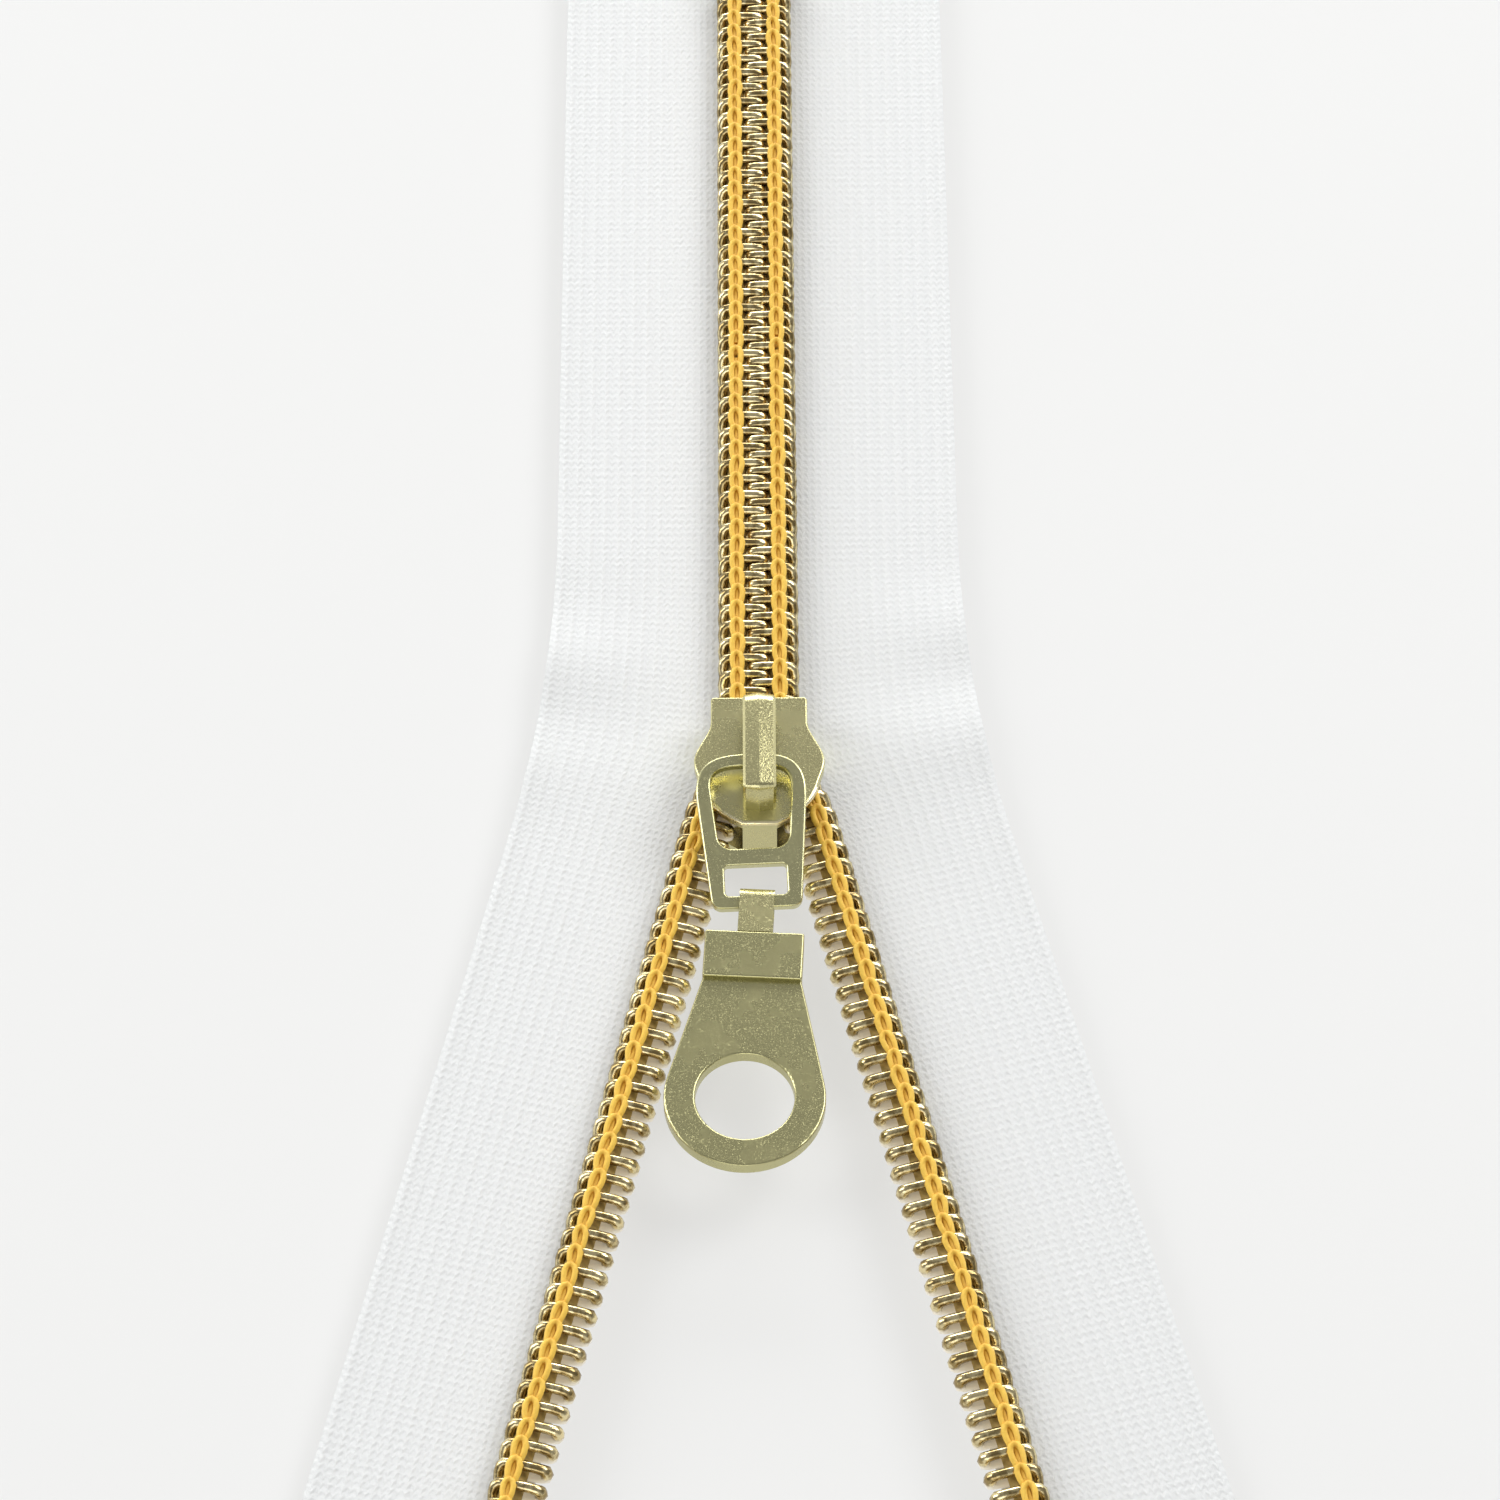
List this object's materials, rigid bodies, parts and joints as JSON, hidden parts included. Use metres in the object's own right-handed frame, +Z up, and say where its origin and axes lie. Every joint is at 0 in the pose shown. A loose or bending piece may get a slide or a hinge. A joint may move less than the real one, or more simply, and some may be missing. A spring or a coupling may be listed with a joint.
{
  "type": "coil zipper",
  "caption": "Nylon coil zipper on woven tapes, part open, with an auto-lock metal slider, a hinged link and a ring-shaped pull.",
  "frame": {"origin": "centre of the slider's flat underside", "axes": "+Y towards the closed end of the chain, +X to the right seen from above, +Z up out of the slider's top plate"},
  "size_m": [0.071, 0.169, 0.0082],
  "materials": {
    "woven_tape": "matt white polyester weave",
    "coil": "metallised pale gold nylon",
    "filler_cord": "twisted off-white cord",
    "stitches": "golden yellow chain stitch",
    "metal": "pale antique gold plating on zinc",
    "spring_metal": "plain spring steel"
  },
  "bodies": {
    "closed_end": {"tape_left_closed_end": "woven_tape", "coil_left_closed_end": "coil", "core_cord_left_closed_end": "filler_cord", "stitch_row_left_closed_end": "stitches", "tape_right_closed_end": "woven_tape", "coil_right_closed_end": "coil", "core_cord_right_closed_end": "filler_cord", "stitch_row_right_closed_end": "stitches", "bottom_stop": "metal"},
    "left_run": {"tape_left_run": "woven_tape", "coil_left_run": "coil", "core_cord_left_run": "filler_cord", "stitch_row_left_run": "stitches"},
    "right_run": {"tape_right_run": "woven_tape", "coil_right_run": "coil", "core_cord_right_run": "filler_cord", "stitch_row_right_run": "stitches"},
    "left_leg": {"tape_left_leg": "woven_tape", "coil_left_leg": "coil", "core_cord_left_leg": "filler_cord", "stitch_row_left_leg": "stitches", "top_stop_left": "metal"},
    "right_leg": {"tape_right_leg": "woven_tape", "coil_right_leg": "coil", "core_cord_right_leg": "filler_cord", "stitch_row_right_leg": "stitches", "top_stop_right": "metal"},
    "slider": {"slider_body": "metal", "bridge_cover": "metal"},
    "lock_pawl": {"lock_pawl": "spring_metal"},
    "pull_link": {"pull_link": "metal"},
    "pull": {"pull_strap": "metal", "pull_plate": "metal"}
  },
  "joints": [
    {"name": "slider_slide", "type": "slide", "parent": "closed_end", "child": "slider", "axis": [0, 1, 0], "range_m": [0, 0.07], "deforming": ["tape_left_run", "coil_left_run", "core_cord_left_run", "stitch_row_left_run", "tape_right_run", "coil_right_run", "core_cord_right_run", "stitch_row_right_run"]},
    {"name": "left_run_swing", "type": "hinge", "parent": "closed_end", "child": "left_run", "pos_m": [-0.00158, 0.0735, 0.00145], "axis": [0, 0, -1], "range_deg": [0, 17.2]},
    {"name": "right_run_swing", "type": "hinge", "parent": "closed_end", "child": "right_run", "pos_m": [0.00158, 0.0735, 0.00145], "axis": [0, 0, 1], "range_deg": [0, 17.2]},
    {"name": "left_leg_bend", "type": "hinge", "parent": "left_run", "child": "left_leg", "pos_m": [-0.00158, 0.0026, 0.00145], "axis": [0, 0, 1], "range_deg": [0, 13.9]},
    {"name": "right_leg_bend", "type": "hinge", "parent": "right_run", "child": "right_leg", "pos_m": [0.00158, 0.0026, 0.00145], "axis": [0, 0, -1], "range_deg": [0, 14.2]},
    {"name": "lock_pawl_lift", "type": "hinge", "parent": "slider", "child": "lock_pawl", "pos_m": [0, -0.0029, 0.00703], "axis": [1, 0, 0], "range_deg": [0, 3.4]},
    {"name": "link_swing", "type": "hinge", "parent": "slider", "child": "pull_link", "pos_m": [-0.00072, -0.00105, 0.0063], "axis": [-0.999, -0.0454, 0], "range_deg": [0, 150]},
    {"name": "pull_swing", "type": "hinge", "parent": "pull_link", "child": "pull", "pos_m": [-0.00023, -0.01174, 0.00403], "axis": [-0.9983, 0.0576, 0], "range_deg": [-11, 50]}
  ],
  "couplings": [
    {"joint": "left_run_swing", "follows": "slider_slide", "rad_per_m": 4.2387},
    {"joint": "right_run_swing", "follows": "slider_slide", "rad_per_m": 4.2387},
    {"joint": "left_leg_bend", "follows": "slider_slide", "rad_per_m": 3.4159},
    {"joint": "right_leg_bend", "follows": "slider_slide", "rad_per_m": 3.4907}
  ]
}
